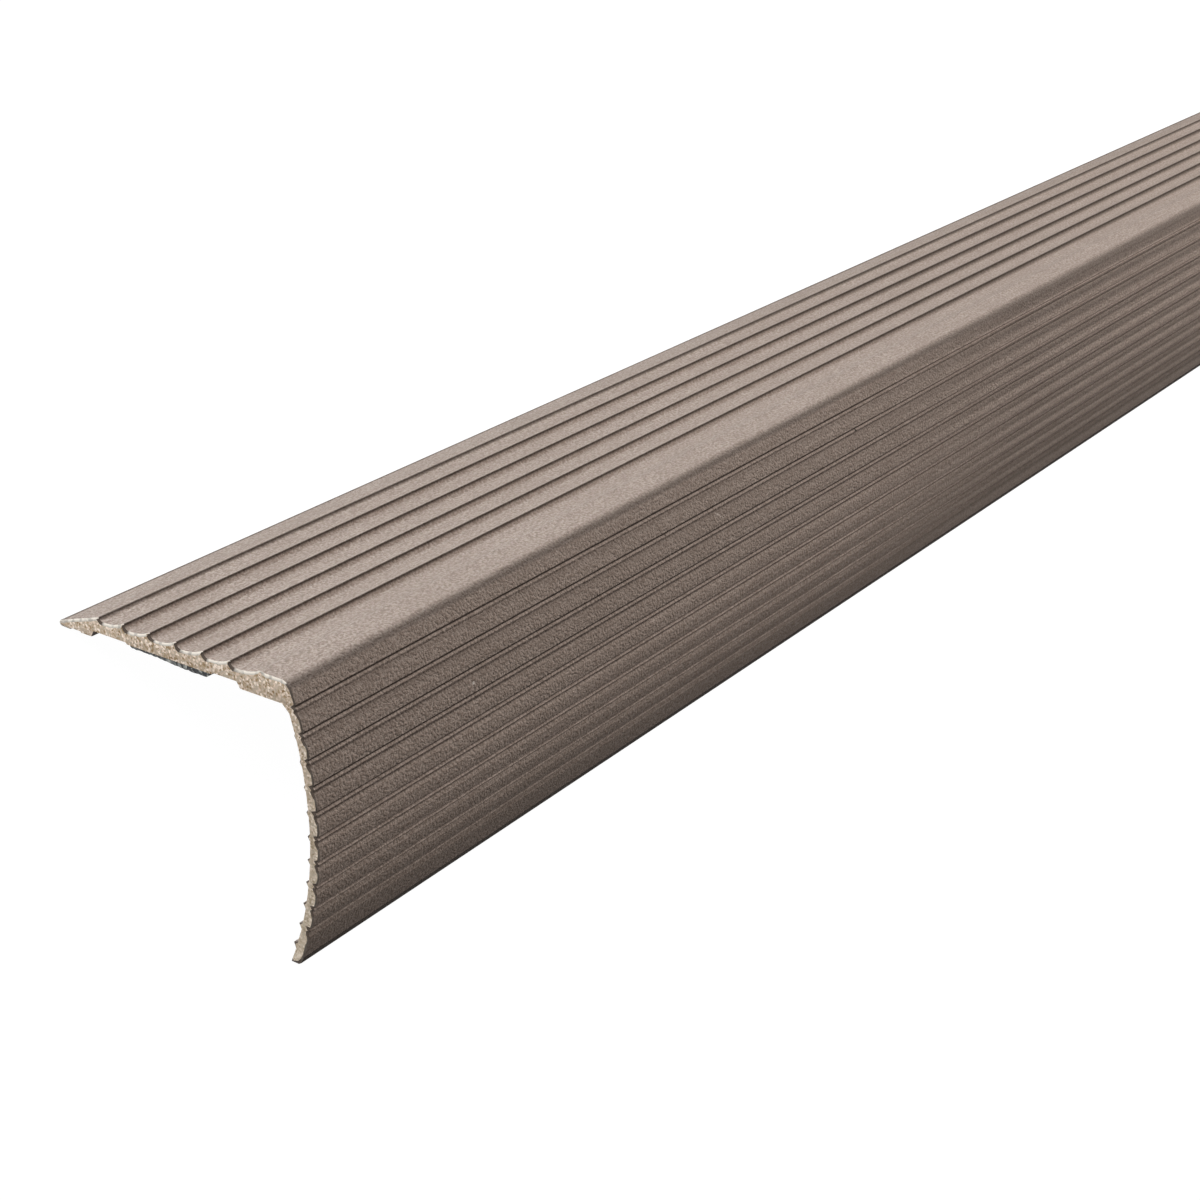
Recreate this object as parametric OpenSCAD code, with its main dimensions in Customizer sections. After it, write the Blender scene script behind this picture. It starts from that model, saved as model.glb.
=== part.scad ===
// Ribbed stair nosing, a length of extruded profile with a self-adhesive strip under its tread flange.
// The section is drawn as it sits on a stair: x runs back over the tread, y runs up,
// and the arris of the stair is at the origin. It is then laid down as a tent on its two long edges.

/* [Stock] */
// Length that the profile is cut to
length = 900; // [100:10:3000]

/* [Tread flange] */
// From the arris of the stair to the thin rear edge
tread_depth = 43.6; // [42:0.1:60]
// Height of the tread ribs above the stair
tread_height = 3.7; // [3.4:0.1:5]
// Distance from one rib to the next
rib_pitch = 5.05; // [4.4:0.05:5.3]
// Number of ribs
rib_count = 6; // [2:1:6]
// From the arris of the stair to the rib nearest the nose
first_rib = 10; // [9:0.1:11]
// From that rib forward to the smooth band at the nose
front_face = 5.6; // [4.5:0.1:6]
// How far a rib drops on its front side
rib_drop = 0.85; // [0.3:0.05:1.1]
// How far the foot of that side lies in front of its top
rib_lean = 0.6; // [0.4:0.05:0.8]
// Hollow of that side, which runs out into the face in front of it
rib_cove = 0.2; // [0.1:0.02:0.24]
// Width of the flat that is left on top of a rib
rib_top = 0.15; // [0.1:0.05:0.5]
// Hollow of the face between two ribs, below its chord
face_hollow = 0.3; // [0.15:0.05:0.5]
// How far the smooth band at the nose lies below the ribs
band_drop = 0.15; // [0.05:0.05:0.4]
// Width of the slope down to that band
band_lean = 0.9; // [0.3:0.1:1.5]
// How far the rear ramp ends below the ribs
ramp_drop = 0.3; // [0.1:0.05:0.6]
// Rounding of the nose
nose_radius = 2; // [1:0.1:2.4]
// Rounding of the thin rear edge
rear_radius = 0.45; // [0.3:0.05:0.7]

/* [Riser leg] */
// From the stair down to the lower edge of the leg
riser_drop = 40.6; // [38:0.1:55]
// Thickness of the leg at the crown of its ribs
riser_wall = 1.7; // [1.1:0.05:2]
// Inside radius of the bow of the leg
bow_radius = 56.6; // [45:0.1:120]
// How far down the leg stands furthest forward
bow_drop = 17.3; // [12:0.1:22]
// Distance from one double groove to the next, round the front face
groove_pitch = 3.85; // [3.2:0.05:3.9]
// Number of double grooves
groove_count = 10; // [2:1:10]
// How far below the stair the bead of the top groove lies
groove_start = 0.2; // [0:0.1:2]
// Distance between the two bottoms of a double groove
groove_gap = 0.8; // [0.5:0.05:1]
// Depth of its upper bottom
upper_depth = 0.4; // [0.2:0.05:0.5]
// Width of its steep upper side
upper_mouth = 0.28; // [0.15:0.01:0.4]
// Depth of the top of the bead between the two bottoms
bead_sink = 0.05; // [0.02:0.01:0.15]
// Depth of its lower bottom
lower_depth = 0.3; // [0.2:0.05:0.5]
// Width of its gentle lower side
lower_mouth = 0.65; // [0.4:0.05:0.8]
// Crown of the face between two double grooves
face_crown = 0.1; // [0.05:0.01:0.2]
// Height of the lowest ridge on the inside, behind the grooves
ridge_height = 0.7; // [0.3:0.05:0.9]
// Height of the highest of those ridges
ridge_height_top = 0.3; // [0.1:0.05:0.5]
// Width of those ridges at their foot
ridge_width = 1.1; // [0.6:0.05:1.6]
// Chamfer along the front of the lower edge
edge_chamfer = 0.35; // [0.1:0.05:0.6]

/* [Underside] */
// Depth of the thick front foot, from the arris of the stair
front_foot = 8.4; // [7:0.1:10]
// From the arris of the stair to the front side of the rear foot
rear_foot_start = 37; // [34:0.1:38]
// Width of the rear foot
rear_foot = 2.1; // [1:0.1:3]
// Width of the shallow relief behind the rear foot
relief_width = 2.2; // [1:0.1:2.5]
// Depth of that relief
relief_depth = 0.2; // [0.1:0.05:0.4]
// Depth of the pockets on both sides of the strip
pocket_depth = 0.95; // [0.85:0.05:1.3]
// How far the sides of the feet and the strip's seat lean
side_lean = 0.6; // [0.2:0.05:1]
// Chamfer in the inner corner, where the stair's arris sits
corner_chamfer = 0.8; // [0.2:0.1:1]

/* [Adhesive strip] */
// Width of the strip
strip_width = 15; // [8:0.5:18]
// Thickness of the strip, which ends level with the feet
strip_thickness = 0.7; // [0.3:0.05:0.8]
// From the arris of the stair to the middle of the strip
strip_middle = 21.7; // [20:0.1:24]
// Width of the seat that shows beside the strip
seat_margin = 0.25; // [0:0.05:1]

/* [Hidden] */
$fn = 96;

// How far shapes that are fused reach into each other, and how far cuts reach past an open side
fuse = 0.4;
clear = 2;
// A rounding stands this proud of the faces it joins, so that it meets them at a clean line
blend = 0.01;

// The leg's bow runs through the arris of the stair on its inside
bow_centre = [sqrt(bow_radius^2 - bow_drop^2), -bow_drop];
crown_radius = bow_radius + riser_wall;
face_radius = crown_radius - face_crown;
groove_step = groove_pitch / face_radius * 180 / PI;
groove_top = asin((bow_drop - groove_start) / face_radius);
// The sides of a double groove, as angles from its bead
bottom_turn = groove_gap / 2 / face_radius * 180 / PI;
upper_turn = upper_mouth / face_radius * 180 / PI;
lower_turn = lower_mouth / face_radius * 180 / PI;
// A face between two of them is an arc that rises to its crown from within their mouths
face_middle = (groove_step + lower_turn - upper_turn) / 2;
face_turn = (groove_step - lower_turn - upper_turn) / 2 - bottom_turn + upper_turn / 3;
face_half = face_radius * sin(face_turn);
face_rise = crown_radius - face_radius * cos(face_turn);
face_arc = (face_half^2 + face_rise^2) / (2 * face_rise);

// A point of the bowed leg, by its radius and its angle above the level of the bow's centre
function on_bow(radius, angle) = bow_centre + radius * [-cos(angle), sin(angle)];

// The chamfer takes the front corner off the leg's lower edge, which is cut level
edge_angle = -asin((riser_drop - bow_drop) / face_radius);
leg_front = on_bow(face_radius, edge_angle);
chamfer_top = on_bow(face_radius, edge_angle + edge_chamfer / face_radius * 180 / PI);
chamfer_foot = leg_front + [edge_chamfer, 0];

// The nose rounds from the smooth band into the front of the leg
band_height = tread_height - band_drop;
nose_y = band_height - nose_radius;
nose_x = bow_centre.x - sqrt((face_radius - nose_radius)^2 - (nose_y - bow_centre.y)^2);
nose_turn = (bow_centre - [nose_x, nose_y]) / (face_radius - nose_radius);
nose_foot = [nose_x, nose_y] - nose_turn * nose_radius;
// The leg ends inside that rounding, just below its foot
leg_top = nose_foot.y - 10 * blend;

// Ribs are counted from the nose, and the ramp to the rear edge starts on the front of the last one
last_rib = first_rib + (rib_count - 1) * rib_pitch;
// The hollow side of a rib is an arc, with its centre given from the top of the rib
rib_side = norm([rib_lean, rib_drop]);
cove_radius = rib_side^2 / (8 * rib_cove) + rib_cove / 2;
cove_centre = [-rib_lean, -rib_drop] / 2 + [-rib_drop, rib_lean] * (cove_radius - rib_cove) / rib_side;
ramp_lead = cove_centre.x + sqrt(cove_radius^2 - (ramp_drop + cove_centre.y)^2);
ramp_top = [last_rib + ramp_lead, tread_height - ramp_drop];
rear_centre = [tread_depth - rear_radius, rear_radius];
ramp = rear_centre - ramp_top;
ramp_turn = -atan2(ramp.y, ramp.x) - asin(rear_radius / norm(ramp));
ramp_foot = rear_centre + rear_radius * [sin(ramp_turn), cos(ramp_turn)];
// It is drawn on past that front, which the rib's cut then forms
ramp_ahead = ramp_top + rib_lean * (ramp_top - ramp_foot) / norm(ramp_top - ramp_foot);

// The strip's seat stands in the pocket between the feet
seat_half = strip_width / 2 + seat_margin;
side_slope = side_lean / pocket_depth;

// At rest the inner corner of the leg's lower edge and the rounded rear edge both touch the floor
leg_corner = [bow_centre.x - sqrt(bow_radius^2 - (riser_drop - bow_drop)^2), -riser_drop];
span = rear_centre - leg_corner;
rest_tilt = atan2(span.y, span.x) - asin((rear_radius + blend) / norm(span));

function at_rest(p) = [p.x * cos(rest_tilt) + p.y * sin(rest_tilt), p.y * cos(rest_tilt) - p.x * sin(rest_tilt)];

rest_front = min(at_rest(chamfer_top).x, at_rest(chamfer_foot).x);
rest_rear = at_rest(rear_centre).x + rear_radius + blend;
rest_floor = at_rest(leg_corner).y;

// Flange with its smooth band, the ramp and the feet, before the ribs and pockets are cut
module flange_blank() {
    polygon([
        [-fuse, 0],
        [rear_centre.x, 0],
        ramp_foot,
        ramp_ahead,
        [ramp_ahead.x, tread_height],
        [first_rib - front_face, tread_height],
        [first_rib - front_face - band_lean, band_height],
        [nose_x, band_height],
        nose_foot,
        [-fuse, nose_foot.y - fuse]
    ]);
    intersection() {
        translate([nose_x, nose_y])
            circle(nose_radius + blend);
        translate([nose_x - 2 * nose_radius, nose_foot.y - fuse])
            square([3 * nose_radius, 2 * nose_radius]);
    }
    translate(rear_centre)
        circle(rear_radius + blend);
    polygon([[-fuse, -corner_chamfer - fuse], [corner_chamfer + fuse, fuse], [-fuse, fuse]]);
}

// The hollow face in front of one rib, with the rib's top at the origin and the next rib a run ahead.
// It is an arc from the foot of the rib's hollow side to the flat on top of the next rib.
module rib_cut(run) {
    face = [run - rib_top - rib_lean, rib_drop];
    hollow_radius = face * face / (8 * face_hollow) + face_hollow / 2;
    middle = [-(run - rib_top + rib_lean) / 2, -rib_drop / 2];
    normal = [face.y, face.x] / norm(face);
    intersection() {
        translate(middle + normal * (hollow_radius - face_hollow))
            circle(hollow_radius);
        translate([-run, -clear])
            square([run + cove_centre.x, 2 * clear]);
    }
    translate(cove_centre)
        circle(cove_radius);
}

// The pocket between the feet, with the strip's seat standing in it
module foot_pocket() {
    front_seat = strip_middle - seat_half;
    rear_seat = strip_middle + seat_half;
    polygon([
        [front_foot - clear * side_slope, -clear],
        [front_foot + side_lean, pocket_depth],
        [front_seat - side_lean, pocket_depth],
        [front_seat - strip_thickness * side_slope, strip_thickness],
        [rear_seat + strip_thickness * side_slope, strip_thickness],
        [rear_seat + side_lean, pocket_depth],
        [rear_foot_start - side_lean, pocket_depth],
        [rear_foot_start + clear * side_slope, -clear]
    ]);
}

// The shallow relief behind the rear foot
module rear_relief() {
    start = rear_foot_start + rear_foot;
    end = start + relief_width;
    polygon([
        [start - clear * side_slope, -clear],
        [start + relief_depth * side_slope, relief_depth],
        [end - relief_depth * side_slope, relief_depth],
        [end + clear * side_slope, -clear]
    ]);
}

module flange() {
    difference() {
        flange_blank();
        for (i = [0 : rib_count - 1])
            translate([first_rib + i * rib_pitch, tread_height])
                rib_cut(i == 0 ? front_face : rib_pitch);
        foot_pocket();
        rear_relief();
    }
}

// One double groove with a bead in its middle, cut towards the bow's centre
module groove(angle) {
    polygon([
        on_bow(face_radius + upper_depth, angle + bottom_turn + 2 * upper_turn),
        on_bow(face_radius - upper_depth, angle + bottom_turn),
        on_bow(face_radius - bead_sink, angle),
        on_bow(face_radius - lower_depth, angle - bottom_turn),
        on_bow(face_radius + lower_depth, angle - bottom_turn - 2 * lower_turn)
    ]);
}

// One pointed ridge on the inside of the leg
module ridge(angle, height) {
    root = fuse / 2;
    root_turn = ridge_width * (height + root) / height / bow_radius * 90 / PI;
    polygon([
        on_bow(bow_radius - height, angle),
        on_bow(bow_radius + root, angle + root_turn),
        on_bow(bow_radius + root, angle - root_turn)
    ]);
}

module leg() {
    difference() {
        intersection() {
            union() {
                translate(bow_centre)
                    circle(face_radius);
                for (i = [0 : groove_count - 2])
                    translate(on_bow(crown_radius - face_arc, groove_top - i * groove_step - face_middle))
                        circle(face_arc);
            }
            translate([-bow_radius / 2, -riser_drop])
                square([bow_radius / 2 + front_foot, riser_drop + leg_top]);
        }
        translate(bow_centre)
            circle(bow_radius);
        for (i = [0 : groove_count - 1])
            groove(groove_top - i * groove_step);
        polygon([2 * chamfer_top - chamfer_foot, 2 * chamfer_foot - chamfer_top, leg_front - [clear, clear]]);
    }
    for (i = [1 : groove_count]) {
        share = (i - 1) / (groove_count - 1);
        ridge(groove_top - i * groove_step, ridge_height_top + share * (ridge_height - ridge_height_top));
    }
}

// Lays a section down in its resting place and draws it out to the full length
module stock() {
    translate([-length / 2, -(rest_front + rest_rear) / 2, -rest_floor])
        rotate([90, 0, 90])
            linear_extrude(length)
                rotate(-rest_tilt)
                    children();
}

module nosing_profile() {
    color("#a3948b")
        stock() {
            union() {
                flange();
                leg();
            }
        }
}

module adhesive_strip() {
    color("#2b2c2e")
        stock()
            translate([strip_middle - strip_width / 2, 0])
                square([strip_width, strip_thickness]);
}

nosing_profile();
adhesive_strip();
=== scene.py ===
import math

import bmesh
import bpy
from mathutils import Matrix, Vector, noise


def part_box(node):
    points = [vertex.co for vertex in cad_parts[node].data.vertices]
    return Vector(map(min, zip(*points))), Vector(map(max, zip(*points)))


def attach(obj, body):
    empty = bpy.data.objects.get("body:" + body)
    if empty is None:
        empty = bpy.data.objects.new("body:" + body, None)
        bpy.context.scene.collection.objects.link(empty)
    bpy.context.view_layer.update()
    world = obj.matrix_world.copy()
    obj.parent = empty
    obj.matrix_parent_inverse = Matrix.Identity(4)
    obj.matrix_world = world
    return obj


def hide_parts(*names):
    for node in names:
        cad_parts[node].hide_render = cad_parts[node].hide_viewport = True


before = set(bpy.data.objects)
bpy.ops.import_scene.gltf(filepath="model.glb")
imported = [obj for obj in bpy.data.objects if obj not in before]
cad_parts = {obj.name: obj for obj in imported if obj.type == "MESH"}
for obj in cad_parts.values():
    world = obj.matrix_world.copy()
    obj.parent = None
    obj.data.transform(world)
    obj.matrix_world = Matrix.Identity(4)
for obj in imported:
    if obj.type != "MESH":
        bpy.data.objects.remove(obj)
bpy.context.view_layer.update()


# The nosing profile: a ribbed tread flange, a rounded nose and a thin bowed riser leg, all in one piece.
# It is rigid PVC, coloured bronze with a fine metallic grain right through its wall.
# It is drawn through one die, so its section is the same all along, and it is sawn off square at both ends.
profile_low, profile_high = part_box("nosing_profile")
length_margin = 0.000001
length = profile_high.x - profile_low.x - length_margin
tread_depth = 0.0436
tread_height = 0.0037
rib_pitch = 0.00505
rib_count = 6
first_rib = 0.01
front_face = 0.0056
rib_drop = 0.00085
rib_lean = 0.0006
rib_cove = 0.0002
rib_top = 0.00015
face_hollow = 0.0003
band_drop = 0.00015
band_lean = 0.0009
ramp_drop = 0.0003
nose_radius = 0.002
rear_radius = 0.00046
riser_drop = 0.0406
riser_wall = 0.0017
bow_radius = 0.0566
bow_drop = 0.0173
groove_pitch = 0.00385
groove_count = 10
groove_start = 0.0002
groove_gap = 0.0008
upper_depth = 0.0004
upper_mouth = 0.00028
bead_sink = 0.00005
lower_depth = 0.0003
lower_mouth = 0.00065
face_crown = 0.0001
flat_crown = 0.00001
ridge_height = 0.0007
ridge_height_top = 0.0003
ridge_width = 0.0011
edge_chamfer = 0.00035
front_foot = 0.0084
rear_foot_start = 0.037
rear_foot = 0.0021
relief_width = 0.0022
relief_depth = 0.0002
pocket_depth = 0.00095
side_lean = 0.0006
corner_chamfer = 0.0008
corner_drop = 0.00112
strip_width = 0.015
strip_thickness = 0.0007
strip_middle = 0.0217
seat_margin = 0.00025

# The section is laid out as it sits on a stair: x runs back over the tread, y runs up from the stair's arris.
bow_centre = Vector((math.sqrt(bow_radius**2 - bow_drop**2), -bow_drop))
crown_radius = bow_radius + riser_wall
face_radius = crown_radius - face_crown
groove_step = groove_pitch / face_radius
groove_top = math.asin((bow_drop - groove_start) / face_radius)


def polar(centre, radius, angle):
    """The point at an angle round a centre, turning left from x."""
    return centre + radius * Vector((math.cos(angle), math.sin(angle)))


def on_bow(radius, angle):
    """A point of the bowed leg, by its radius and its angle above the level of the bow's centre."""
    return polar(bow_centre, radius, math.pi - angle)


def arc_between(start, end, rise, steps):
    """Points from start to end on an arc that bulges by its rise to the left of the way."""
    way = end - start
    ahead = way.normalized()
    left = Vector((-way.y, way.x)).normalized()
    radius = (way.length_squared / 4 + rise**2) / (2 * rise)
    half = math.asin(way.length / 2 / abs(radius))
    centre = (start + end) / 2 + left * (rise - radius)
    turns = [half * (2 * k / steps - 1) for k in range(steps + 1)]
    return [centre + left * radius * math.cos(t) + ahead * abs(radius) * math.sin(t) for t in turns]


def arc_round(centre, start, end, steps):
    """Points from start to end on an arc round a centre."""
    first = math.atan2(*(start - centre).yx)
    last = math.atan2(*(end - centre).yx)
    radius = (start - centre).length
    return [polar(centre, radius, first + k / steps * (last - first)) for k in range(steps + 1)]


def round_bow(start, end, radius, steps):
    """Points from start to end on an arc that swells to a radius of the bow at its middle."""
    rise = radius - ((start + end) / 2 - bow_centre).length
    outward = 1 if end.y > start.y else -1
    return arc_between(start, end, outward * rise, steps)


def eased(share):
    """A share, held between 0 and 1 and eased in and out."""
    share = min(1, max(0, share))
    return share**2 * (3 - 2 * share)


# Points of the outline have tones of painted light: 1 is painted shade, as dark as a shadowed crevice, 0 is
# plain skin and less than 0 is a painted highlight.
# Close to the near end they are thin and sharp. Farther on they are broad and soft, where that differs.
near_tones = {}
far_tones = {}


def shade(first, near, far=()):
    """Gives their tones of painted shade and highlight to points of the outline, from the first on."""
    near_tones.update(enumerate(near, first))
    far_tones.update(enumerate(far, first))


# The tread from its thin rear edge to the nose: a ramp, then a hollow face in front of each rib.
# The front side of a rib is hollow too, an arc with its centre given from the top of the rib.
last_rib = first_rib + (rib_count - 1) * rib_pitch
rib_side = Vector((-rib_lean, -rib_drop))
cove_radius = rib_side.length_squared / (8 * rib_cove) + rib_cove / 2
cove_way = Vector((-rib_drop, rib_lean)) / rib_side.length
cove_centre = rib_side / 2 + cove_way * (cove_radius - rib_cove)
ramp_lead = cove_centre.x + math.sqrt(cove_radius**2 - (ramp_drop + cove_centre.y) ** 2)
ramp_top = Vector((last_rib + ramp_lead, tread_height - ramp_drop))
rear_centre = Vector((tread_depth - rear_radius, rear_radius))
ramp = rear_centre - ramp_top
ramp_turn = math.atan2(-ramp.y, ramp.x) - math.asin(rear_radius / ramp.length)
rear_steps = 8
rear_sweep = [-math.pi / 2 + k / rear_steps * (math.pi - ramp_turn) for k in range(rear_steps + 1)]
shown = [polar(rear_centre, rear_radius, angle) for angle in rear_sweep]
# Painted shade: a thin dark line on the upper half of the rear rounding, and farther on also where the ramp
# starts.
rear_tone = 0.75
rear_upper = rear_steps // 2
shade(rear_upper, [rear_tone] * (len(shown) - rear_upper))
shade(len(shown), [rear_tone], [rear_tone, rear_tone])
ramp_shares = (0.07, 0.1, 0.14, 0.85, 0.9, 0.96, 1)
shown += [shown[-1].lerp(ramp_top, share) for share in ramp_shares]
# Painted highlight just behind the top of each rib, and painted shade on its front edge and down its hollow
# front side, fading towards the foot.
crest_tones = [-0.2, 0.15, 0.85]
far_crest_tones = [0, 0.3, 0.9]
shade(len(shown) - len(crest_tones), crest_tones)
cove_steps = 6
cove_fading = 2.7
rear_cove_fading = 1.5
far_cove_fading = 1.2
hollow_steps = 8
crests = set()
notches = set()
for i in reversed(range(rib_count)):
    rib = first_rib + i * rib_pitch
    next_rib = rib - (rib_pitch if i else front_face)
    crest = Vector((rib, tread_height))
    foot = crest + rib_side
    fading = cove_fading if i < rib_count - 1 else rear_cove_fading
    cove_tones = [max(0, 1 - fading * k / cove_steps) for k in range(cove_steps)]
    shade(len(shown), cove_tones, [1 - far_cove_fading * k / cove_steps for k in range(cove_steps)])
    notches |= set(range(len(shown), len(shown) + cove_steps))
    shown += arc_round(crest + cove_centre, shown[-1], foot, cove_steps)[1:]
    shown += arc_between(foot, Vector((next_rib + rib_top, tread_height)), face_hollow, hollow_steps)[1:]
    if i:
        shade(len(shown) - 2, crest_tones, far_crest_tones)
    shown += [Vector((next_rib, tread_height))]
    crests |= {len(shown) - 2, len(shown) - 1}
band_height = tread_height - band_drop
shown += [Vector((first_rib - front_face - band_lean, band_height))]

# The nose rounds from the smooth band into the leg. It has painted shade, darkest where it turns down.
nose_rise = band_height - nose_radius + bow_drop
nose_reach = face_radius - nose_radius
nose_centre = bow_centre + Vector((-math.sqrt(nose_reach**2 - nose_rise**2), nose_rise))
nose_end = math.pi - math.asin(nose_rise / nose_reach)
nose_steps = 12
nose_sweep = [math.pi / 2 + k / nose_steps * (nose_end - math.pi / 2) for k in range(nose_steps + 1)]
nose_tone = 0.6
tone_start = 1
tone_rise = 6.8
tone_end = 12.3
tone_fall = 3.2
far_tone_rise = 8
tread_points = len(shown) + nose_steps // 2
nose_shares = [min((k - tone_start) / tone_rise, (tone_end - k) / tone_fall) for k in range(nose_steps + 1)]
far_nose_shares = [k / far_tone_rise for k in range(nose_steps + 1)]
near_nose = [nose_tone * eased(share) for share in nose_shares]
far_nose = [nose_tone * eased(share) for share in far_nose_shares]
shade(len(shown), near_nose, far_nose)
shown += [polar(nose_centre, nose_radius, angle) for angle in nose_sweep]

# Down the leg each crowned face ends in a double groove with a bead in its middle. In the upper grooves
# painted shade makes dark lines.
# In the lower ones painted highlights make the beads stand out, and painted shade darkens the faces
# downwards. Each face's lip has a painted highlight.
face_steps = 6
upper_turn = groove_gap / 2 / face_radius
mouth_turn = upper_turn + upper_mouth / face_radius
foot_turn = upper_turn + lower_mouth / face_radius
side_low = 0.35
side_crest = 0.55
side_high = 0.65
middle_groove = 4
low_groove = 6
lip_tone_top = -0.1
lip_tone_step = -0.08
lip_steps = 3
lip_tone_low = -0.2
face_tone_step = 0.06
dark_lines_end = 7
dark_lines_fade = 4
bead_tone_low = -0.18
bead_tone_rise = 0.13
lower_tone_most = 0.7
lower_tone_least = -0.15
lower_tone_middle = 2.8
lower_tone_fall = 0.045
foot_tone_top = 0.36
foot_tone_fall = 0.02
foot_tone_step = 0.07
slope_tone_step = 0.06
line_rest = 0.2
foot_rest = 0.5
face_rest = 0.3
far_first_face = [0.5, 0.45, 0.45, 0.45, 0.2, -0.6]
far_upper_face = [0.5, 0.4, 0.2, -0.05, -0.1, -0.5]
far_lower_face = [0.5, -0.1, -0.35, -0.35, -0.35, -0.5]
far_face_steps = 3
far_groove = [-0.3, 0, 0.55, 0.65, 0.5, 0.35, 0.5, 0.6, 0.65]
foot_tone = 0
groove_marks = set()
for i in range(groove_count):
    angle = groove_top - i * groove_step
    swell = crown_radius if i else face_radius + flat_crown
    lip_tone = lip_tone_top + lip_tone_step * min(i, lip_steps) if i < low_groove else lip_tone_low
    face_tone = face_tone_step * max(0, i + 1 - low_groove)
    near_face = [face_rest * foot_tone + face_tone, face_tone, face_tone, face_tone]
    near_face += [lip_tone / 2 + face_tone, lip_tone]
    upper_share = max(0, 1 - (i - 1) / far_face_steps)
    far_face = [low + upper_share * (high - low) for low, high in zip(far_lower_face, far_upper_face)]
    shade(len(shown), near_face, far_face if i else far_first_face)
    shown += round_bow(shown[-1], on_bow(face_radius, angle + mouth_turn), swell, face_steps)[1:]
    upper = on_bow(face_radius - upper_depth, angle + upper_turn)
    bead = on_bow(face_radius - bead_sink, angle)
    lower = on_bow(face_radius - lower_depth, angle - upper_turn)
    face_start = on_bow(face_radius, angle - foot_turn)
    upper_tone = min(1, max(0, (dark_lines_end - i) / dark_lines_fade))
    bead_tone = bead_tone_low + bead_tone_rise * upper_tone
    lower_tone = max(lower_tone_least, lower_tone_most - lower_tone_fall * (i - lower_tone_middle) ** 2)
    foot_tone = max(foot_tone_top - foot_tone_fall * i**2, foot_tone_step * (i - middle_groove))
    slope_tone = slope_tone_step * (i - low_groove) if i > middle_groove else foot_tone
    near_groove = [upper_tone, line_rest * upper_tone, bead_tone, bead_tone, 0]
    near_groove += [lower_tone, slope_tone, foot_tone, foot_rest * foot_tone]
    shade(len(shown), near_groove, far_groove)
    groove_marks |= set(range(len(shown), len(shown) + len(near_groove)))
    shown += [upper, upper.lerp(bead, side_low), upper.lerp(bead, side_crest), bead]
    shown += [bead.lerp(lower, side_low), lower]
    shown += [lower.lerp(face_start, side_low), lower.lerp(face_start, side_high), face_start]

# The last face ends in painted shade: a thin dark line along the chamfered lower edge, and the face is
# darkened a little.
edge_shade_band = 0.0012
edge_shade_start = 0.1
edge_tone = 1.12
edge_face_tone = 0.24
far_edge_face = [0.4, 0, -0.1, 0, 0.1, edge_face_tone]
edge_angle = -math.asin((riser_drop - bow_drop) / face_radius)
chamfer_top = on_bow(face_radius, edge_angle + edge_chamfer / face_radius)
chamfer_foot = on_bow(face_radius, edge_angle) + Vector((edge_chamfer, 0))
edge_line = on_bow(face_radius, edge_angle + (edge_chamfer + edge_shade_band) / face_radius)
shade(len(shown), [edge_face_tone] * face_steps, far_edge_face)
shown += round_bow(shown[-1], edge_line, face_radius + flat_crown, face_steps)[1:]
shown += [edge_line.lerp(chamfer_top, edge_shade_start), chamfer_top]
shade(len(shown) - 2, [edge_tone] * 3)

# The inside of the leg has a pointed ridge behind each groove. Under the flange follow its feet and pockets,
# and the seat of the strip.
inner_steps = 4
leg_drop = riser_drop - bow_drop
leg_corner = bow_centre - Vector((math.sqrt(bow_radius**2 - leg_drop**2), leg_drop))
hidden = [chamfer_foot, leg_corner]
ridge_tips = {len(shown), len(shown) + 1}
ridge_turn = ridge_width / 2 / bow_radius
for i in range(groove_count, 0, -1):
    angle = groove_top - i * groove_step
    share = (i - 1) / (groove_count - 1)
    height = ridge_height_top + share * (ridge_height - ridge_height_top)
    hidden += round_bow(hidden[-1], on_bow(bow_radius, angle - ridge_turn), bow_radius, inner_steps)[1:]
    ridge_tips.add(len(shown) + len(hidden))
    hidden += [on_bow(bow_radius - height, angle), on_bow(bow_radius, angle + ridge_turn)]
leg_points = len(shown) + len(hidden)
corner_turn = math.asin((bow_drop - corner_drop) / bow_radius)
hidden += round_bow(hidden[-1], on_bow(bow_radius, corner_turn), bow_radius, inner_steps)[1:]
side_slope = side_lean / pocket_depth
seat_half = strip_width / 2 + seat_margin
relief_start = rear_foot_start + rear_foot
relief_end = relief_start + relief_width
hidden += [
    Vector((corner_chamfer, 0)),
    Vector((front_foot, 0)),
    Vector((front_foot + side_lean, pocket_depth)),
    Vector((strip_middle - seat_half - side_lean, pocket_depth)),
    Vector((strip_middle - seat_half - strip_thickness * side_slope, strip_thickness)),
    Vector((strip_middle + seat_half + strip_thickness * side_slope, strip_thickness)),
    Vector((strip_middle + seat_half + side_lean, pocket_depth)),
    Vector((rear_foot_start - side_lean, pocket_depth)),
    Vector((rear_foot_start, 0)),
    Vector((relief_start, 0)),
    Vector((relief_start + relief_depth * side_slope, relief_depth)),
    Vector((relief_end - relief_depth * side_slope, relief_depth)),
    Vector((relief_end, 0)),
]

# At rest the leg's inner lower corner and the rounded rear edge both touch the floor, as a tent stands.
span = rear_centre - leg_corner
rest_tilt = math.atan2(span.y, span.x) - math.asin(rear_radius / span.length)
tilt_cos = math.cos(rest_tilt)
tilt_sin = math.sin(rest_tilt)
rest_turn = Matrix(((0, 0, 1), (tilt_cos, tilt_sin, 0), (-tilt_sin, tilt_cos, 0)))
rear_reach = (rest_turn @ rear_centre.to_3d()).y + rear_radius
leg_reach = (rest_turn @ leg_corner.to_3d()).z
rest_shift = Vector((profile_low.x, profile_high.y - rear_reach, -leg_reach))


def at_rest(rear, up, along=0.0):
    """A place on the fitted nosing, from the stair's arris at the near end, as it lies at rest."""
    return rest_shift + rest_turn @ Vector((rear, up, along))


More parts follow.
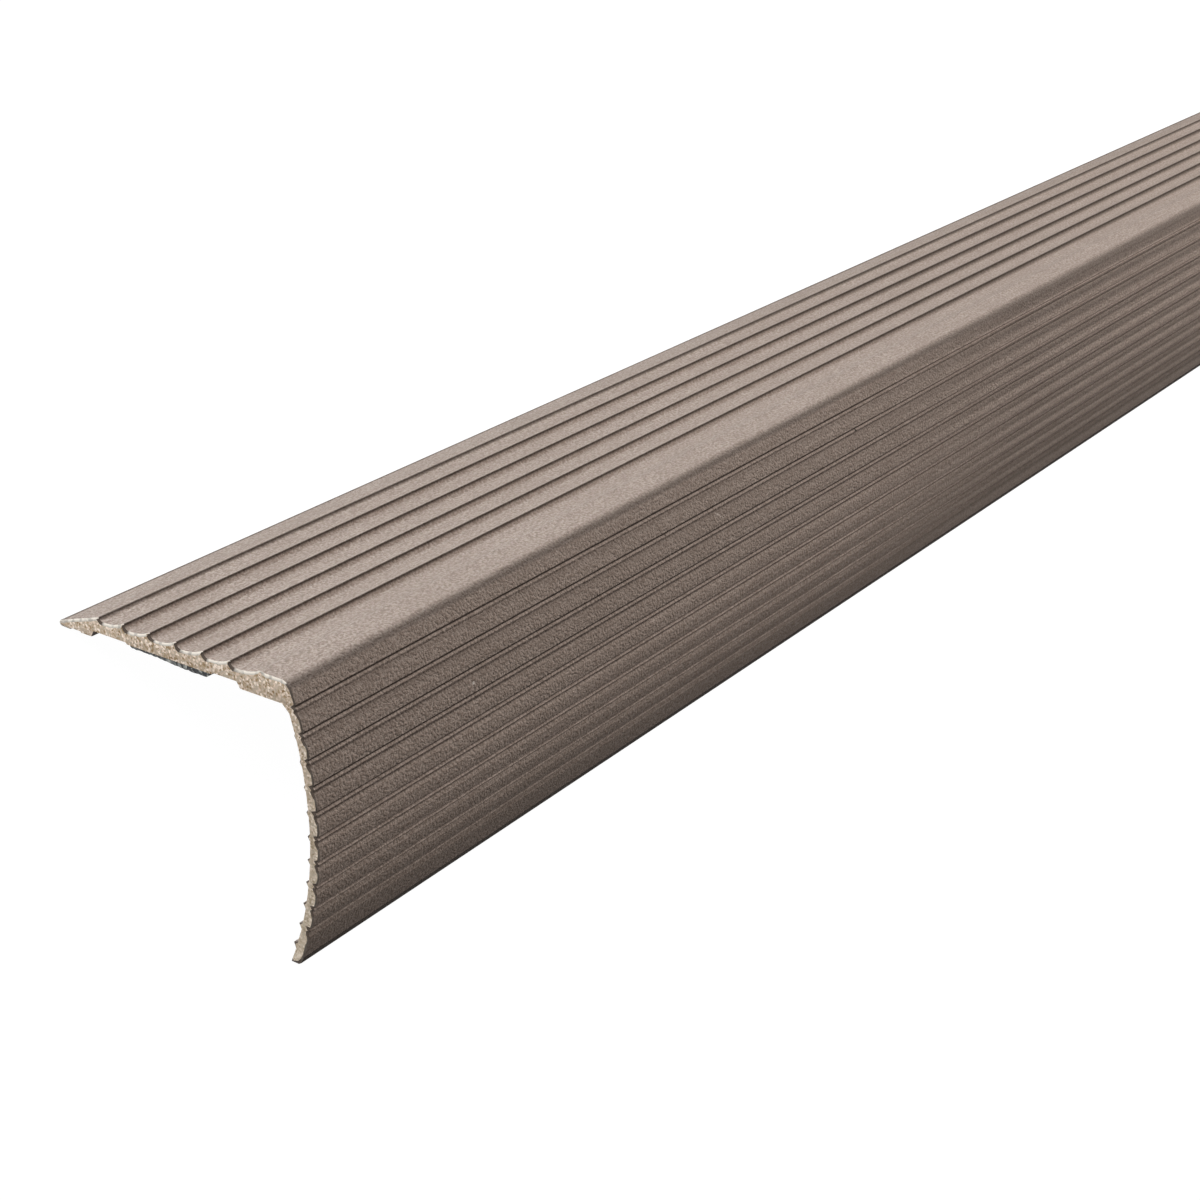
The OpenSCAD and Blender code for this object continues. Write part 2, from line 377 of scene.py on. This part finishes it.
# The saw breaks the edges of the cut: each point of the outline steps in a little at the very end, unevenly.
break_length = 0.00018
tread_break = 0.0004
notch_break = 0.00045
leg_break = 0.0002
mark_break = 0.00036
tip_break = 0.0003
inner_break = 0.0001
fine_break = 0.00006
torn_per_metre = 1300
torn_share = 0.5
outline = shown + hidden
breaks = [tread_break] * tread_points + [leg_break] * (len(shown) - tread_points)
breaks += [inner_break] * (leg_points - len(shown)) + [fine_break] * (len(outline) - leg_points)
edge_tips = {len(shown) - 1, len(shown), len(shown) + 1}
special = [(crests, fine_break), (ridge_tips, tip_break), (edge_tips, notch_break)]
special += [(notches, notch_break), (groove_marks, mark_break)]
for points, depth in special:
    breaks = [depth if k in points else usual for k, usual in enumerate(breaks)]
tears = [1 + torn_share * noise.noise(point.to_3d() * torn_per_metre) for point in outline]
breaks = [depth * tear for depth, tear in zip(breaks, tears)]


def with_neighbours(ring):
    """Each point of a closed ring between the ones before and after it."""
    return zip(ring[-1:] + ring[:-1], ring, ring[1:] + ring[:1])


def side_normals(before, here, after):
    """The normals into the material of the two sides that meet at a point of the outline."""
    sides = (here - before).normalized(), (after - here).normalized()
    return [Vector((-side.y, side.x)) for side in sides]


soft_steps = 4
longest_reach = 0.45


def softened(ring, corners, radius):
    """The ring with a small rounding at each of its corners."""
    soft = []
    for (before, here, after), corner in zip(with_neighbours(ring), corners):
        if corner:
            reach = radius * math.tan(corner / 2)
            back, ahead = before - here, after - here
            start = here + back.normalized() * min(reach, back.length * longest_reach)
            end = here + ahead.normalized() * min(reach, ahead.length * longest_reach)
            shares = [k / soft_steps for k in range(soft_steps + 1)]
            soft += [start.lerp(here, t).lerp(here.lerp(end, t), t) for t in shares]
        else:
            soft.append(here)
    return soft


smallest_corner = math.radians(14)
edge_radius = 0.0001
torn_edge_radius = 0.00002
inset = []
corners = []
for (before, here, after), depth in zip(with_neighbours(outline), breaks):
    first, second = side_normals(before, here, after)
    inset.append(here + (first + second) * depth / (1 + first.dot(second)))
    corner = first.angle(second)
    corners.append(corner if corner > smallest_corner else 0)
section = softened(outline, corners, edge_radius)
section_inset = softened(inset, corners, torn_edge_radius)


def soft_values(values):
    """Values of the outline's points, one for each point of the softened section."""
    return [value for value, corner in zip(values, corners) for _ in range(soft_steps + 1 if corner else 1)]


# The burr that the saw leaves is palest along the edge of the tread, partly its own paler colour and partly a
# painted highlight where the edge catches light. It has painted shade, dark, in notches and grooves.
tread_burr = 1.0
leg_burr = 0.05
leg_burr_gain = 0.25
burr_shading_tones = [tread_burr] * tread_points
burr_shading_tones += [leg_burr + leg_burr_gain * max(0, -point.y) / riser_drop for point in shown[tread_points:]]
burr_shading_tones += [0.0] * len(hidden)
dark_points = notches | groove_marks | edge_tips
burr_shading_tones = soft_values([0.0 if k in dark_points else tone for k, tone in enumerate(burr_shading_tones)])
near_shading_values = soft_values([near_tones.get(k, 0) for k in range(len(outline))])
far_shading_values = soft_values([far_tones.get(k, near_tones.get(k, 0)) for k in range(len(outline))])


def fill(tree, socket, value):
    """Links an input to a socket or sets it to a value. None leaves it as it is."""
    if isinstance(value, bpy.types.NodeSocket):
        tree.links.new(value, socket)
    elif value is not None:
        socket.default_value = value


def add_node(tree, kind, inputs=None, **settings):
    """A new node with its settings and its inputs."""
    node = tree.nodes.new(kind)
    for name, value in settings.items():
        setattr(node, name, value)
    for key, value in (inputs or {}).items():
        fill(tree, node.inputs[key], value)
    return node


def new_material(name):
    """A material with its node tree, its Principled shader and its Object coordinates."""
    material = bpy.data.materials.new(name)
    material.use_nodes = True
    tree = material.node_tree
    shader = tree.nodes["Principled BSDF"]
    place = tree.nodes.new("ShaderNodeTexCoord").outputs["Object"]
    return material, tree, shader, place


def mixed(tree, share, first, second):
    """A mix of two colours, each given as a value or a socket."""
    node = add_node(tree, "ShaderNodeMix", data_type="RGBA")
    sockets = [socket for socket in node.inputs if socket.enabled]
    for socket, value in zip(sockets, (share, first, second)):
        fill(tree, socket, value)
    return [socket for socket in node.outputs if socket.enabled][0]


def ranged(tree, value, start, end, first=0.0, last=1.0):
    """A number that goes from first to last while a value goes from start to end."""
    inputs = {"Value": value, "From Min": start, "From Max": end, "To Min": first, "To Max": last}
    return add_node(tree, "ShaderNodeMapRange", inputs).outputs["Result"]


def worked_out(tree, operation, *values, **settings):
    """The number that a Math node makes of its values."""
    inputs = dict(enumerate(values))
    return add_node(tree, "ShaderNodeMath", inputs, operation=operation, **settings).outputs["Value"]


def add_relief(tree, shader, strength, distance, height):
    """Bumps in a surface, by a height."""
    inputs = {"Strength": strength, "Distance": distance, "Height": height}
    bump = add_node(tree, "ShaderNodeBump", inputs)
    tree.links.new(bump.outputs["Normal"], shader.inputs["Normal"])


# Shader group: a fine grain of a given size, as a height, and scattered flecks a few grains apart.
grain_group = bpy.data.node_groups.new("fine_grain", "ShaderNodeTree")
grain_group.interface.new_socket("Place", in_out="INPUT", socket_type="NodeSocketVector")
for name in ("Grains per metre", "Flecks per metre", "Fleck size"):
    grain_group.interface.new_socket(name, in_out="INPUT", socket_type="NodeSocketFloat")
for name in ("Height", "Fleck", "Tone"):
    grain_group.interface.new_socket(name, in_out="OUTPUT", socket_type="NodeSocketFloat")
grain_in = grain_group.nodes.new("NodeGroupInput").outputs
grain_out = grain_group.nodes.new("NodeGroupOutput").inputs
grains = add_node(
    grain_group,
    "ShaderNodeTexNoise",
    {"Vector": grain_in["Place"], "Scale": grain_in["Grains per metre"], "Detail": 2.0, "Roughness": 0.6},
)
cells = add_node(
    grain_group,
    "ShaderNodeTexVoronoi",
    {"Vector": grain_in["Place"], "Scale": grain_in["Flecks per metre"]},
)
fleck = worked_out(grain_group, "LESS_THAN", cells.outputs["Distance"], grain_in["Fleck size"])
cell_tone = add_node(grain_group, "ShaderNodeSeparateColor", {"Color": cells.outputs["Color"]})
grain_group.links.new(grains.outputs["Fac"], grain_out["Height"])
grain_group.links.new(fleck, grain_out["Fleck"])
grain_group.links.new(cell_tone.outputs["Red"], grain_out["Tone"])


def add_grain(tree, place, per_metre, flecks, size):
    """The fine grain group, placed in a material."""
    node = add_node(tree, "ShaderNodeGroup", node_tree=grain_group)
    tree.links.new(place, node.inputs["Place"])
    node.inputs["Grains per metre"].default_value = per_metre
    node.inputs["Flecks per metre"].default_value = flecks
    node.inputs["Fleck size"].default_value = size
    return node.outputs


# Bronze skin: matt, with a fine metallic grain, faint lines from the die and broad clouds of tone.
skin, tree, shader, place = new_material("bronze_skin")
skin_base = (0.5, 0.408, 0.36, 1)
skin_dark = (0.308, 0.24, 0.204, 1)
skin_pale = (0.66, 0.55, 0.495, 1)
clouds = add_node(
    tree, "ShaderNodeTexNoise", {"Vector": place, "Scale": 90.0, "Detail": 6.0, "Roughness": 0.7}
)
drawn = add_node(tree, "ShaderNodeMapping", {"Vector": place, "Scale": (6, 1600, 1600)})
die_lines = add_node(
    tree, "ShaderNodeTexNoise", {"Vector": drawn.outputs["Vector"], "Scale": 1.0, "Detail": 2.0}
)
grain = add_grain(tree, place, per_metre=2400, flecks=2300, size=0.2)
cloud_share = ranged(tree, clouds.outputs["Fac"], 0.35, 0.7, last=0.4)
line_share = ranged(tree, die_lines.outputs["Fac"], 0.45, 0.8, last=0.3)
grain_share = ranged(tree, grain["Height"], 0.4, 0.6)
fleck_tone = ranged(tree, grain["Tone"], 0.6, 1.0, last=0.8)
fleck_share = worked_out(tree, "MULTIPLY", grain["Fleck"], fleck_tone)
colour = mixed(tree, cloud_share, skin_base, skin_dark)
colour = mixed(tree, line_share, colour, skin_dark)
colour = mixed(tree, grain_share, colour, skin_dark)
colour = mixed(tree, fleck_share, colour, skin_pale)

# The painted shade and highlights of ribs, nose and grooves pass from the near tones to the far ones over a
# stretch of the length.
# Painted shade is even, and painted highlights show as glints of the grain.
# Painted shade is mixed in as a near-black colour, and painted highlights as a pale one.
painted_shade_colour = (0.03, 0.021, 0.016, 1)
highlight_colour = (0.82, 0.68, 0.6, 1)
darkest_share = 0.9
fade_start = profile_low.x + 0.145
fade_end = profile_low.x + 0.215
ways = add_node(tree, "ShaderNodeSeparateXYZ", {"Vector": place}).outputs
far_share = ranged(tree, ways["X"], fade_start, fade_end)
near_painted_shading = add_node(tree, "ShaderNodeAttribute", attribute_name="painted_shading")
far_painted_shading = add_node(tree, "ShaderNodeAttribute", attribute_name="far_painted_shading")
painted_shading = add_node(
    tree,
    "ShaderNodeMix",
    {0: far_share, 2: near_painted_shading.outputs["Fac"], 3: far_painted_shading.outputs["Fac"]},
).outputs[0]
painted_shade_share = worked_out(tree, "MULTIPLY", painted_shading, darkest_share, use_clamp=True)
highlight_glint = ranged(tree, grain["Height"], 0.38, 0.58, -1.0, -0.4)
highlight_share = worked_out(tree, "MULTIPLY", painted_shading, highlight_glint, use_clamp=True)
colour = mixed(tree, painted_shade_share, colour, painted_shade_colour)
colour = mixed(tree, highlight_share, colour, highlight_colour)

# Small marks on the skin: dark and pale specks, and one short pale scratch down a face of the riser.
# Each lies back, up and along from the near end of the stair's arris, and has its own reach and colour.
mark_pale = (0.95, 0.88, 0.82, 1)
mark_dark = (0.02, 0.014, 0.01, 1)
marks = [
    (Vector((-0.00376, -0.00936, 0.03439)), 0.0003, mark_pale),
    (Vector((-0.00069, 0.0035, 0.15833)), 0.0004, mark_pale),
    (Vector((-0.00267, -0.0036, 0.08562)), 0.0004, mark_dark),
    (Vector((-0.00427, -0.01507, 0.01296)), 0.00035, mark_dark),
    (Vector((-0.00273, -0.00383, 0.1469)), 0.0004, mark_dark),
]
scratch_pale = (0.7, 0.6, 0.54, 1)
scratch_reach = 0.0002
scratch_top = Vector((-0.00284, -0.0043, 0.09955))
scratch_foot = Vector((-0.00318, -0.006, 0.1018))
scratch_dots = 9
for k in range(scratch_dots):
    dot = scratch_top.lerp(scratch_foot, k / (scratch_dots - 1))
    marks.append((dot, scratch_reach, scratch_pale))
for middle, reach, mark_colour in marks:
    away = add_node(tree, "ShaderNodeVectorMath", {0: place, 1: at_rest(*middle)}, operation="DISTANCE")
    spot = ranged(tree, away.outputs["Value"], reach / 2, reach, 1.0, 0.0)
    colour = mixed(tree, spot, colour, mark_colour)
tree.links.new(colour, shader.inputs["Base Color"])
shader.inputs["Specular IOR Level"].default_value = 0.12
gloss = ranged(tree, grain["Height"], 0.3, 0.7, 0.7, 0.85)
tree.links.new(gloss, shader.inputs["Roughness"])

# The grain stands up as fine bumps, which are worn smoother down the foot of the leg.
smooth_foot = 0.018
smooth_strength = 0.45
line_height = worked_out(tree, "MULTIPLY", die_lines.outputs["Fac"], 0.4)
skin_height = worked_out(tree, "ADD", grain["Height"], line_height)
skin_strength = ranged(tree, ways["Y"], profile_low.y, profile_low.y + smooth_foot, smooth_strength)
add_relief(tree, shader, skin_strength, 0.0004, skin_height)


# Sawn ends: the same PVC, torn open by the blade, so it is paler, yellower and speckled.
def toned(tree, value, tones):
    """A colour that goes through the given tones as a value goes from 0 to 1."""
    node = add_node(tree, "ShaderNodeValToRGB", {"Fac": value})
    elements = node.color_ramp.elements
    for k, tone in enumerate(tones):
        position = k / (len(tones) - 1)
        element = elements[k] if k < 2 else elements.new(position)
        element.position = position
        element.color = (*tone, 1)
    return node.outputs["Color"]


sawn, tree, shader, place = new_material("sawn_end")
sawn_tones = [
    (0.12, 0.062, 0.024),
    (0.35, 0.232, 0.128),
    (0.58, 0.43, 0.312),
    (0.5, 0.4, 0.305),
    (0.74, 0.56, 0.44),
    (1.0, 0.83, 0.7),
]
leg_end_pale = (0.86, 0.74, 0.58, 1)
leg_end_share = 0.4
grain = add_grain(tree, place, per_metre=2200, flecks=3300, size=0.3)
cell_speckle = worked_out(tree, "MULTIPLY", grain["Tone"], 0.85)
speckle = worked_out(tree, "MULTIPLY_ADD", grain["Height"], 0.3, cell_speckle)
ways = add_node(tree, "ShaderNodeSeparateXYZ", {"Vector": place}).outputs
leg_share = ranged(tree, ways["Y"], profile_low.y, 0.0, leg_end_share, 0.0)
colour = mixed(tree, leg_share, toned(tree, speckle, sawn_tones), leg_end_pale)
tree.links.new(colour, shader.inputs["Base Color"])
shader.inputs["Roughness"].default_value = 0.75
shader.inputs["Specular IOR Level"].default_value = 0.2
add_relief(tree, shader, 0.6, 0.0002, speckle)

# The burr along the sawn edges: almost white in patches on the tread, partly a painted highlight, and brown
# down the leg and in notches, which is painted shade.
burr, tree, shader, place = new_material("sawn_burr_shading")
burr_shade_brown = (0.05, 0.03, 0.018, 1)
burr_highlight_pale = (1.0, 0.88, 0.77, 1)
burr_shading_tone = add_node(tree, "ShaderNodeAttribute", attribute_name="burr_shading_tone")
patches = add_node(tree, "ShaderNodeTexNoise", {"Vector": place, "Scale": 900.0, "Detail": 2.0})
patch_share = ranged(tree, patches.outputs["Fac"], 0.38, 0.52, 0.6)
burr_shading_share = worked_out(tree, "MULTIPLY", burr_shading_tone.outputs["Fac"], patch_share)
tree.links.new(mixed(tree, burr_shading_share, burr_shade_brown, burr_highlight_pale), shader.inputs["Base Color"])
shader.inputs["Roughness"].default_value = 0.6

# Geometry tree: draws the section out to its length, steps it in at both cut ends and closes them.
sweep = bpy.data.node_groups.new("drawn_profile", "GeometryNodeTree")
sweep.interface.new_socket("Section", in_out="INPUT", socket_type="NodeSocketGeometry")
length_id = sweep.interface.new_socket("Length", in_out="INPUT", socket_type="NodeSocketFloat").identifier
break_id = sweep.interface.new_socket("Edge break", in_out="INPUT", socket_type="NodeSocketFloat").identifier
sweep.interface.new_socket("Profile", in_out="OUTPUT", socket_type="NodeSocketGeometry")
given = sweep.nodes.new("NodeGroupInput").outputs
length_way = add_node(sweep, "ShaderNodeCombineXYZ", {"Z": 1.0}).outputs["Vector"]


def moved(mesh, offset, points=None):
    """A mesh with its points, or only the given ones, moved by an offset."""
    inputs = {"Geometry": mesh, "Selection": points, "Offset": offset}
    return add_node(sweep, "GeometryNodeSetPosition", inputs).outputs["Geometry"]


def drawn_on(mesh, distance, edges=None):
    """A mesh with its edges, or only the given ones, drawn out along the length."""
    inputs = {"Mesh": mesh, "Selection": edges, "Offset": length_way, "Offset Scale": distance}
    return add_node(sweep, "GeometryNodeExtrudeMesh", inputs, mode="EDGES").outputs


def covered(mesh, material, faces=None):
    """A mesh with a material on its faces, or only on the given ones."""
    inputs = {"Geometry": mesh, "Selection": faces, "Material": material}
    return add_node(sweep, "GeometryNodeSetMaterial", inputs).outputs["Geometry"]


def joined(*meshes):
    """Meshes put together into one."""
    node = add_node(sweep, "GeometryNodeJoinGeometry")
    for mesh in meshes:
        sweep.links.new(mesh, node.inputs["Geometry"])
    return node.outputs["Geometry"]


step_in = add_node(sweep, "GeometryNodeInputNamedAttribute", {"Name": "step_in"}, data_type="FLOAT_VECTOR")
step_in = step_in.outputs["Attribute"]
step_out = add_node(sweep, "ShaderNodeVectorMath", {0: step_in, "Scale": -1.0}, operation="SCALE")
step_out = step_out.outputs["Vector"]
near_ring = moved(given["Section"], step_in)
ring_curve = add_node(sweep, "GeometryNodeMeshToCurve", {"Mesh": near_ring}).outputs["Curve"]
near_cap = add_node(sweep, "GeometryNodeFillCurve", {"Curve": ring_curve}, mode="NGONS").outputs["Mesh"]
far_place = add_node(sweep, "ShaderNodeCombineXYZ", {"Z": given["Length"]}).outputs["Vector"]
far_cap = add_node(sweep, "GeometryNodeTransform", {"Geometry": near_cap, "Translation": far_place})
far_cap = far_cap.outputs["Geometry"]
body_length = worked_out(sweep, "MULTIPLY_ADD", given["Edge break"], -2.0, given["Length"])
near_edge = drawn_on(near_ring, given["Edge break"])
full_ring = moved(near_edge["Mesh"], step_out, near_edge["Top"])
body = drawn_on(full_ring, body_length, near_edge["Top"])
far_edge = drawn_on(body["Mesh"], given["Edge break"], body["Top"])
far_ring = moved(far_edge["Mesh"], step_in, far_edge["Top"])
broken = add_node(
    sweep, "FunctionNodeBooleanMath", {0: body["Side"], 1: far_edge["Side"]}, operation="IMPLY"
).outputs["Boolean"]
broken_edges = covered(covered(far_ring, skin), burr, broken)
sawn_caps = covered(joined(near_cap, far_cap), sawn)
weld_reach = 0.000001
welded = add_node(
    sweep,
    "GeometryNodeMergeByDistance",
    {"Geometry": joined(sawn_caps, broken_edges), "Distance": weld_reach},
)
whole = add_node(sweep, "GeometryNodeRealizeInstances", {"Geometry": welded.outputs["Geometry"]})
sweep_out = sweep.nodes.new("NodeGroupOutput")
sweep.links.new(whole.outputs["Geometry"], sweep_out.inputs["Profile"])

section_mesh = bpy.data.meshes.new("section")
section_edges = [(k, (k + 1) % len(section)) for k in range(len(section))]
section_mesh.from_pydata([(point.x, point.y, 0) for point in section], section_edges, [])
step_attribute = section_mesh.attributes.new("step_in", "FLOAT_VECTOR", "POINT")
for value, full, stepped in zip(step_attribute.data, section, section_inset):
    value.vector = (stepped - full).to_3d()
for name, values in (("painted_shading", near_shading_values), ("far_painted_shading", far_shading_values), ("burr_shading_tone", burr_shading_tones)):
    section_mesh.attributes.new(name, "FLOAT", "POINT").data.foreach_set("value", values)
section_object = bpy.data.objects.new("section", section_mesh)
bpy.context.collection.objects.link(section_object)
drawing = section_object.modifiers.new("drawn_profile", "NODES")
drawing.node_group = sweep
drawing[length_id] = length
drawing[break_id] = break_length
evaluated = section_object.evaluated_get(bpy.context.evaluated_depsgraph_get())
profile_mesh = bpy.data.meshes.new_from_object(evaluated)
section_object.modifiers.remove(drawing)
bpy.data.objects.remove(section_object)
profile_mesh.transform(Matrix.Translation(rest_shift) @ rest_turn.to_4x4())


def finish_mesh(mesh, sharp_angle):
    """Turns the faces of a mesh outward and shades it smooth, but for its sharp edges."""
    work = bmesh.new()
    work.from_mesh(mesh)
    bmesh.ops.recalc_face_normals(work, faces=work.faces)
    for face in work.faces:
        face.smooth = True
    work.to_mesh(mesh)
    work.free()
    mesh.set_sharp_from_angle(angle=sharp_angle)


finish_mesh(profile_mesh, sharp_angle=math.radians(32))
profile = bpy.data.objects.new("drawn_profile", profile_mesh)
bpy.context.collection.objects.link(profile)
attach(profile, "root")
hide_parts("nosing_profile")


# The adhesive strip: a black foam tape, stuck along the seat under the tread flange.
# It is cut off with the profile, and the saw has torn it thinner towards the rear at both ends.
# Its lower edges are rounded and a little uneven.
strip_edge = 0.00025
strip_edge_share = 0.04
strip_steps = 40
torn_length = 0.003
torn_depth = 0.0004
torn_start = -0.4
torn_width = 0.9
torn_swelling = 0.4
lump_height = 0.00012
lumps_along = 300
lumps_across = 9
fine_lumps_along = 900
fine_lumps_across = 25
torn_rows = [0, 0.0005, 0.001, 0.0015, 0.002, 0.003]
row_count = 150
strip_rows = torn_rows + [k / row_count * length for k in range(1, row_count)]
strip_rows += [length - row for row in reversed(torn_rows)]
strip_points = []
strip_faces = []
for row in strip_rows:
    torn = max(0, 1 - min(row, length - row) / torn_length)
    ring = [(1, strip_thickness)]
    for k in range(strip_steps + 1):
        across = 1 - 2 * k / strip_steps
        rounding = strip_edge * max(0, (abs(across) - 1 + strip_edge_share) / strip_edge_share) ** 2
        lump = noise.noise(Vector((row * lumps_along, across * lumps_across, 1)))
        lump += noise.noise(Vector((row * fine_lumps_along, across * fine_lumps_across, 2)))
        tear = torn * torn_depth * min(1, max(0, (across - torn_start) / torn_width))
        ring.append((across, rounding + tear + lump_height * max(0, torn_swelling * torn + lump)))
    ring.append((-1, strip_thickness))
    strip_points += [at_rest(strip_middle + across * strip_width / 2, up, row) for across, up in ring]
ring_size = strip_steps + 3
for start in range(0, len(strip_points) - ring_size, ring_size):
    for k in range(ring_size):
        following = (k + 1) % ring_size
        side = [start + k, start + following, start + ring_size + following, start + ring_size + k]
        strip_faces.append(side)
strip_faces.append(list(range(ring_size)))
strip_faces.append([len(strip_points) - 1 - k for k in range(ring_size)])
strip_mesh = bpy.data.meshes.new("foam_strip")
strip_mesh.from_pydata(strip_points, [], strip_faces)

foam, tree, shader, place = new_material("black_foam")
foam_tones = [
    (0.004, 0.004, 0.005),
    (0.012, 0.012, 0.013),
    (0.05, 0.05, 0.05),
    (0.2, 0.2, 0.19),
    (0.45, 0.44, 0.4),
]
grain = add_grain(tree, place, per_metre=1800, flecks=2200, size=0.25)
tree.links.new(toned(tree, grain["Tone"], foam_tones), shader.inputs["Base Color"])
shader.inputs["Roughness"].default_value = 0.55
add_relief(tree, shader, 0.6, 0.0002, grain["Height"])
strip_mesh.materials.append(foam)
finish_mesh(strip_mesh, sharp_angle=math.radians(40))
strip = bpy.data.objects.new("foam_strip", strip_mesh)
bpy.context.collection.objects.link(strip)
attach(strip, "root")
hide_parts("adhesive_strip")


# The stage: a floor under the tent, with three soft lamps and a dim world for light.
# Floor and world are white to whatever looks at them, and give the object hardly any light.
floor_half = 4.0
floor_grey = (0.08, 0.08, 0.08, 1)
floor_glow_strength = 0.985
floor_corners = [(x * floor_half, y * floor_half, 0) for x, y in ((-1, -1), (1, -1), (1, 1), (-1, 1))]
floor_mesh = bpy.data.meshes.new("floor")
floor_mesh.from_pydata(floor_corners, [], [(0, 1, 2, 3)])
floor = bpy.data.objects.new("floor", floor_mesh)
bpy.context.collection.objects.link(floor)


def looked_at(tree):
    """Whether a ray comes from the camera, also by way of something shiny or clear."""
    rays = tree.nodes.new("ShaderNodeLightPath").outputs
    shiny = worked_out(tree, "MAXIMUM", rays["Is Camera Ray"], rays["Is Glossy Ray"])
    return worked_out(tree, "MAXIMUM", shiny, rays["Is Transmission Ray"])


floor_material = bpy.data.materials.new("pale_floor")
floor_material.use_nodes = True
tree = floor_material.node_tree
tree.nodes.remove(tree.nodes["Principled BSDF"])
floor_shade = add_node(tree, "ShaderNodeBsdfDiffuse", {"Color": floor_grey}).outputs["BSDF"]
floor_glow = add_node(tree, "ShaderNodeEmission", {"Strength": floor_glow_strength}).outputs["Emission"]
seen_floor = add_node(tree, "ShaderNodeAddShader", {0: floor_shade, 1: floor_glow}).outputs["Shader"]
floor_mix = add_node(tree, "ShaderNodeMixShader", {0: looked_at(tree), 1: floor_shade, 2: seen_floor})
tree.links.new(floor_mix.outputs["Shader"], tree.nodes["Material Output"].inputs["Surface"])
floor.data.materials.append(floor_material)

world = bpy.data.worlds.new("studio")
world.use_nodes = True
bpy.context.scene.world = world
tree = world.node_tree
tree.nodes.remove(tree.nodes["Background"])
white = (1, 1, 1, 1)
dim_strength = 0.035
dim_light = add_node(tree, "ShaderNodeBackground", {"Color": white, "Strength": dim_strength})
backdrop = add_node(tree, "ShaderNodeBackground", {"Color": white, "Strength": 1.0})
world_mix = add_node(
    tree,
    "ShaderNodeMixShader",
    {0: looked_at(tree), 1: dim_light.outputs["Background"], 2: backdrop.outputs["Background"]},
)
tree.links.new(world_mix.outputs["Shader"], tree.nodes["World Output"].inputs["Surface"])

seen_middle = at_rest(0.0, 0.0, 0.15)


def add_lamp(name, spot, size, power, tint):
    """A square soft lamp that faces the middle of what the camera sees."""
    light = bpy.data.lights.new(name, "AREA")
    light.color = tint
    light.size = size
    light.energy = power
    lamp = bpy.data.objects.new(name, light)
    lamp.location = spot
    lamp.rotation_euler = (seen_middle - spot).to_track_quat("-Z", "Y").to_euler()
    lamp.visible_camera = False
    bpy.context.collection.objects.link(lamp)


add_lamp("key", at_rest(0.42, 0.66, -0.42), size=0.45, power=9.3, tint=(0.88, 0.96, 1.0))
add_lamp("front_fill", at_rest(-0.6, 0.8, 1.1), size=0.8, power=18.2, tint=(1.0, 0.965, 0.92))
add_lamp("end_fill", at_rest(-0.05, 0.35, -1.3), size=0.6, power=4.0, tint=(1.0, 0.98, 0.95))

# The camera looks at the fitted nosing from in front of its near end and a little above the tread.
photo_pixels = 1200
focal_pixels = 2250
eye = at_rest(-0.1874, 0.1333, -0.1919)
look = rest_turn @ Vector((0.530, -0.407, 0.744)).normalized()
upright = rest_turn @ Vector((0, 1, 0))
right = look.cross(upright).normalized()
camera_turn = Matrix((right, right.cross(look), -look)).transposed()
camera_data = bpy.data.cameras.new("camera")
camera_data.sensor_width = 36.0
camera_data.lens = camera_data.sensor_width * focal_pixels / photo_pixels
camera_data.clip_start = 0.01
camera = bpy.data.objects.new("camera", camera_data)
camera.matrix_world = Matrix.Translation(eye) @ camera_turn.to_4x4()
bpy.context.collection.objects.link(camera)
bpy.context.scene.camera = camera
bpy.context.scene.view_settings.view_transform = "Standard"
